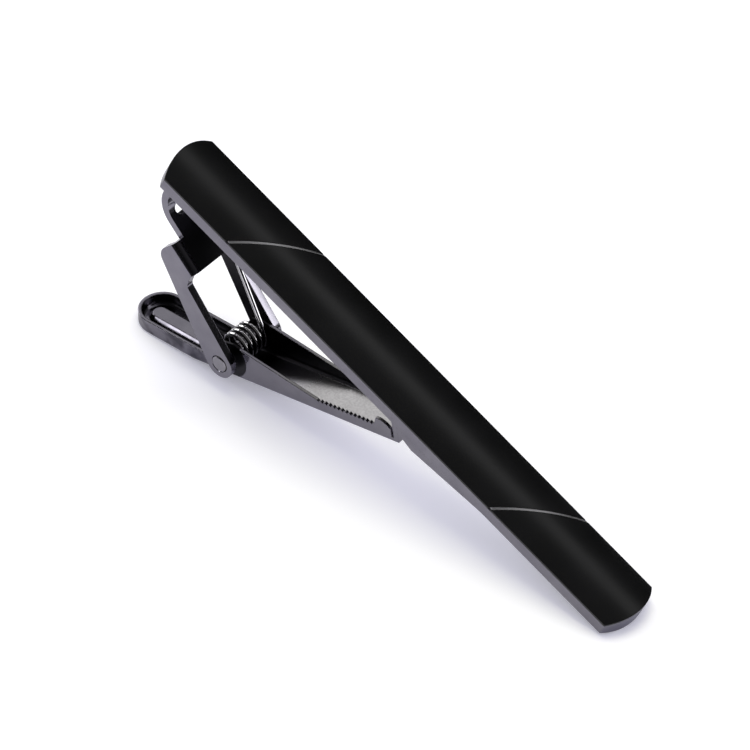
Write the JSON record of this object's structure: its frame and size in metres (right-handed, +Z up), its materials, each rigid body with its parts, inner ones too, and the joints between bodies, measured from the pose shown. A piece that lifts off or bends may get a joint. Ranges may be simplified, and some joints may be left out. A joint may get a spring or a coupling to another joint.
{
  "type": "tie clip",
  "caption": "Sprung tie clip: a domed bar with a black enamel front and slanting cut lines, a bent sheet bracket, and a toothed clamp lever on a riveted pin with a torsion spring.",
  "frame": {"origin": "on the table, under the middle of the closed clip's outline", "axes": "+X along the bar towards its low end, +Y across the clip, +Z up from the table it stands on"},
  "size_m": [0.0596, 0.0072, 0.0231],
  "materials": {
    "plated_bar": "polished dark plating",
    "black_enamel": "glossy black enamel",
    "plated_sheet": "polished dark plating",
    "plated_pin": "polished dark plating",
    "spring_wire": "bright wire"
  },
  "bodies": {
    "lever": {"clamp_lever": "plated_sheet"},
    "bar": {"front_bar": "plated_bar", "enamel_left": "black_enamel", "enamel_centre": "black_enamel", "enamel_right": "black_enamel", "jaw_ramp": "plated_bar", "bracket": "plated_sheet", "pivot_pin": "plated_pin", "torsion_spring": "spring_wire"}
  },
  "joints": [
    {"name": "lever_hinge", "type": "hinge", "parent": "lever", "child": "bar", "pos_m": [-0.01774, 0, 0.00359], "axis": [0, -1, 0], "range_deg": [0, 35], "stiffness_Nm_per_rad": 0.02, "springref_deg": -57.3, "deforming": ["torsion_spring"]}
  ]
}
